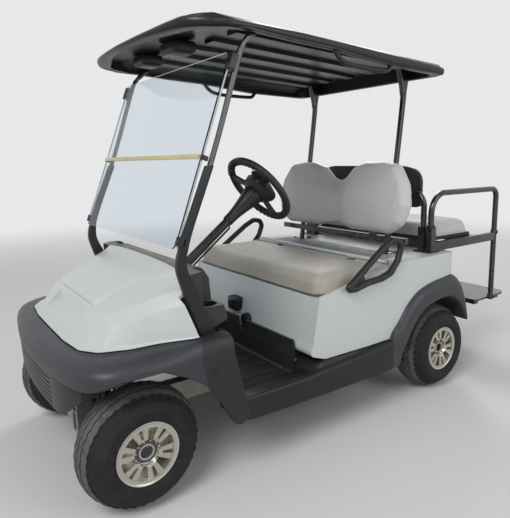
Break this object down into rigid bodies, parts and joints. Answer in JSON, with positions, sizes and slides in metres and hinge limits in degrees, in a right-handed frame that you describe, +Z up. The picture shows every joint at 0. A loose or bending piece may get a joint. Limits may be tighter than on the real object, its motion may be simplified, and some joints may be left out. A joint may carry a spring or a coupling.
{
  "type": "four-seat golf cart",
  "caption": "Open electric golf cart with a front bench, a rear-facing flip seat with grab rails and foot plate, a sun roof on four struts and a folding windscreen.",
  "frame": {"origin": "On the ground, under the middle of the overall length, in the middle plane.", "axes": "+X forward, +Y to the driver's left, +Z up."},
  "size_m": [2.796, 1.19, 1.7668],
  "materials": {
    "body": "pale grey moulded shell, satin",
    "trim": "charcoal moulded plastic, fine grain",
    "roof": "black moulded shell, satin",
    "chassis": "extruded rails, dusty",
    "steel_black": "gloss black powder coat",
    "axle_steel": "black chassis paint",
    "vinyl_light": "light grey vinyl",
    "vinyl_beige": "warm grey vinyl",
    "board": "black board",
    "tyre": "dusty tread rubber",
    "wheel": "champagne silver cover and rim",
    "screen": "clear acrylic, light tint",
    "strip": "yellowed hinge strip",
    "battery": "battery pack, one block"
  },
  "bodies": {
    "root": {"frame": "chassis", "front_suspension": "axle_steel", "rear_axle": "axle_steel", "rear_springs": "axle_steel", "battery_block": "battery", "floor_pan": "trim", "rockers": "trim", "front_fender": "trim", "front_cowl": "body", "front_bumper": "trim", "dashboard": "trim", "steering_column": "trim", "pedals": "steel_black", "windscreen_lower": "screen", "windscreen_upper": "screen", "windscreen_hinge": "strip", "windscreen_clips": "steel_black", "front_struts": "trim", "rear_struts": "steel_black", "roof": "roof", "roof_pods": "trim", "seat_pod": "body", "rear_flares": "trim", "selector": "trim", "charge_socket": "trim", "front_backrest": "vinyl_light", "backrest_frame": "steel_black", "armrests": "trim", "rear_seat_frame": "steel_black", "back_hoop": "steel_black", "rear_back_shell": "trim", "rear_back_pad": "vinyl_light", "grab_rails": "steel_black", "foot_plate": "steel_black"},
    "roller_front_left": {"tyre_front_left": "tyre", "wheel_front_left": "wheel"},
    "roller_front_right": {"tyre_front_right": "tyre", "wheel_front_right": "wheel"},
    "roller_rear_left": {"tyre_rear_left": "tyre", "wheel_rear_left": "wheel"},
    "roller_rear_right": {"tyre_rear_right": "tyre", "wheel_rear_right": "wheel"},
    "steer_left": {"knuckle_left": "axle_steel"},
    "steer_right": {"knuckle_right": "axle_steel"},
    "tie_rod": {"tie_rod": "axle_steel"},
    "steering_wheel": {"steering_wheel": "trim"},
    "bench_lid": {"cushion_base": "board", "front_cushion": "vinyl_beige"},
    "flip_seat": {"rear_seat_base": "board", "rear_cushion": "vinyl_light"}
  },
  "joints": [
    {"name": "steer_left", "type": "hinge", "parent": "root", "child": "steer_left", "pos_m": [1.119, 0.352, 0.228], "axis": [0, 0, 1], "range_deg": [-30, 30]},
    {"name": "steer_right", "type": "hinge", "parent": "root", "child": "steer_right", "pos_m": [1.119, -0.352, 0.228], "axis": [0, 0, 1], "range_deg": [-30.5, 30.5]},
    {"name": "steering_wheel_turn", "type": "hinge", "parent": "root", "child": "steering_wheel", "pos_m": [0.415, 0.236, 1.122], "axis": [-0.788, 0, 0.6157], "range_deg": [-330, 330]},
    {"name": "tie_rod_slide", "type": "slide", "parent": "root", "child": "tie_rod", "axis": [0, 1, 0], "range_m": [-0.06, 0.06]},
    {"name": "bench_lid_hinge", "type": "hinge", "parent": "root", "child": "bench_lid", "pos_m": [-0.121, 0, 0.752], "axis": [0, -1, 0], "range_deg": [0, 95]},
    {"name": "flip_seat_hinge", "type": "hinge", "parent": "root", "child": "flip_seat", "pos_m": [-1.001, 0, 0.806], "axis": [0, -1, 0], "range_deg": [0, 180]},
    {"name": "spin_front_left", "type": "hinge", "parent": "steer_left", "child": "roller_front_left", "pos_m": [1.119, 0.438, 0.228], "axis": [0, 1, 0], "continuous": true},
    {"name": "spin_front_right", "type": "hinge", "parent": "steer_right", "child": "roller_front_right", "pos_m": [1.119, -0.438, 0.228], "axis": [0, 1, 0], "continuous": true},
    {"name": "spin_rear_left", "type": "hinge", "parent": "root", "child": "roller_rear_left", "pos_m": [-0.545, 0.489, 0.228], "axis": [0, 1, 0], "continuous": true},
    {"name": "spin_rear_right", "type": "hinge", "parent": "root", "child": "roller_rear_right", "pos_m": [-0.545, -0.489, 0.228], "axis": [0, 1, 0], "continuous": true}
  ],
  "couplings": [
    {"joint": "steer_right", "follows": "steer_left", "ratio": 1},
    {"joint": "steering_wheel_turn", "follows": "steer_left", "ratio": 10.8},
    {"joint": "tie_rod_slide", "follows": "steer_left", "m_per_rad": -0.112}
  ]
}
